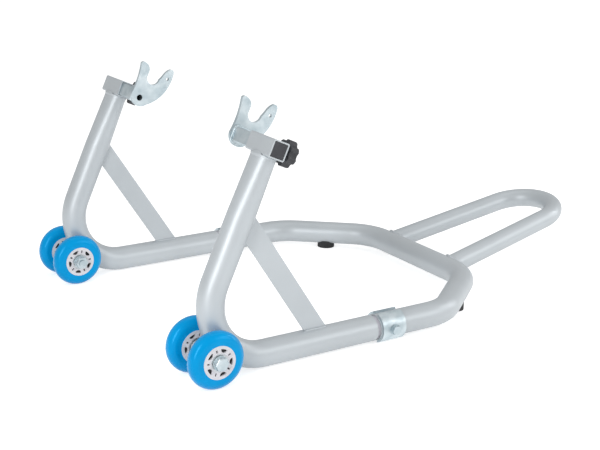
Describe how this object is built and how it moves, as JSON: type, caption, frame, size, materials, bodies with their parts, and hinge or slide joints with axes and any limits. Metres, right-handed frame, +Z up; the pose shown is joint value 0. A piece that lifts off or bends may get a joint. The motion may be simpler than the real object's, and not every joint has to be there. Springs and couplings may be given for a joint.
{
  "type": "paddock stand",
  "caption": "Tubular rear paddock stand with side-sliding forked hooks, star-knob clamps, twin-wheel trolleys and a U-shaped lever handle.",
  "frame": {"origin": "centre of the assembly's bounding box, at floor level", "axes": "+X towards the lever handle, +Y to the right of a person at the handle, +Z up"},
  "size_m": [0.8669, 0.5736, 0.3602],
  "materials": {
    "frame_paint": "satin silver-grey powder coat",
    "sleeve_paint": "satin grey",
    "zinc": "bluish bright zinc plating",
    "blue_tyre": "glossy cast polyurethane",
    "hub_grey": "satin moulded plastic",
    "bearing_steel": "ground steel",
    "black_plastic": "satin moulded plastic",
    "foot_rubber": "matt rubber"
  },
  "bodies": {
    "frame": {"axle_bolt_left": "zinc", "axle_bolt_right": "zinc", "axle_nut_left": "zinc", "axle_nut_right": "zinc", "axle_sleeve_left": "frame_paint", "axle_sleeve_right": "frame_paint", "axle_washers_left": "zinc", "axle_washers_right": "zinc", "brace_left": "frame_paint", "brace_right": "frame_paint", "clamp_bolt_left": "zinc", "clamp_bolt_right": "zinc", "clamp_inner_left": "zinc", "clamp_inner_right": "zinc", "clamp_nut_left": "zinc", "clamp_nut_right": "zinc", "clamp_outer_left": "zinc", "clamp_outer_right": "zinc", "clamp_washers_left": "zinc", "clamp_washers_right": "zinc", "foot_pad_left": "foot_rubber", "foot_pad_right": "foot_rubber", "foot_screw_left": "zinc", "foot_screw_right": "zinc", "handle_tube": "frame_paint", "hook_socket_left": "frame_paint", "hook_socket_right": "frame_paint", "joint_sleeve_left": "sleeve_paint", "joint_sleeve_right": "sleeve_paint", "knob_nut_left": "frame_paint", "knob_nut_right": "frame_paint", "rear_tube": "frame_paint", "side_tube_left": "frame_paint", "side_tube_right": "frame_paint"},
    "hook_left": {"bar_plug_left": "black_plastic", "hook_bar_left": "zinc", "hook_plate_left": "zinc"},
    "knob_screw_left": {"knob_left": "black_plastic", "knob_stud_left": "zinc"},
    "wheel_outer_left": {"bearing_spacer_outer_left": "bearing_steel", "bearings_outer_left": "bearing_steel", "hub_outer_left": "hub_grey", "tyre_outer_left": "blue_tyre"},
    "wheel_inner_left": {"bearing_spacer_inner_left": "bearing_steel", "bearings_inner_left": "bearing_steel", "hub_inner_left": "hub_grey", "tyre_inner_left": "blue_tyre"},
    "hook_right": {"bar_plug_right": "black_plastic", "hook_bar_right": "zinc", "hook_plate_right": "zinc"},
    "knob_screw_right": {"knob_right": "black_plastic", "knob_stud_right": "zinc"},
    "wheel_outer_right": {"bearing_spacer_outer_right": "bearing_steel", "bearings_outer_right": "bearing_steel", "hub_outer_right": "hub_grey", "tyre_outer_right": "blue_tyre"},
    "wheel_inner_right": {"bearing_spacer_inner_right": "bearing_steel", "bearings_inner_right": "bearing_steel", "hub_inner_right": "hub_grey", "tyre_inner_right": "blue_tyre"}
  },
  "joints": [
    {"name": "hook_slide_left", "type": "slide", "parent": "frame", "child": "hook_left", "axis": [0, -1, 0], "range_m": [-0.03, 0.03]},
    {"name": "knob_turn_left", "type": "hinge", "parent": "frame", "child": "knob_screw_left", "pos_m": [-0.3014, -0.2354, 0.30756], "axis": [0.9167, 0, -0.3995], "continuous": true},
    {"name": "wheel_outer_spin_left", "type": "hinge", "parent": "frame", "child": "wheel_outer_left", "pos_m": [-0.3934, -0.2669, 0.04], "axis": [0, 1, 0], "continuous": true},
    {"name": "wheel_inner_spin_left", "type": "hinge", "parent": "frame", "child": "wheel_inner_left", "pos_m": [-0.3934, -0.2039, 0.04], "axis": [0, 1, 0], "continuous": true},
    {"name": "hook_slide_right", "type": "slide", "parent": "frame", "child": "hook_right", "axis": [0, 1, 0], "range_m": [-0.03, 0.03]},
    {"name": "knob_turn_right", "type": "hinge", "parent": "frame", "child": "knob_screw_right", "pos_m": [-0.3014, 0.2354, 0.30756], "axis": [0.9167, 0, -0.3995], "continuous": true},
    {"name": "wheel_outer_spin_right", "type": "hinge", "parent": "frame", "child": "wheel_outer_right", "pos_m": [-0.3934, 0.2669, 0.04], "axis": [0, 1, 0], "continuous": true},
    {"name": "wheel_inner_spin_right", "type": "hinge", "parent": "frame", "child": "wheel_inner_right", "pos_m": [-0.3934, 0.2039, 0.04], "axis": [0, 1, 0], "continuous": true}
  ]
}
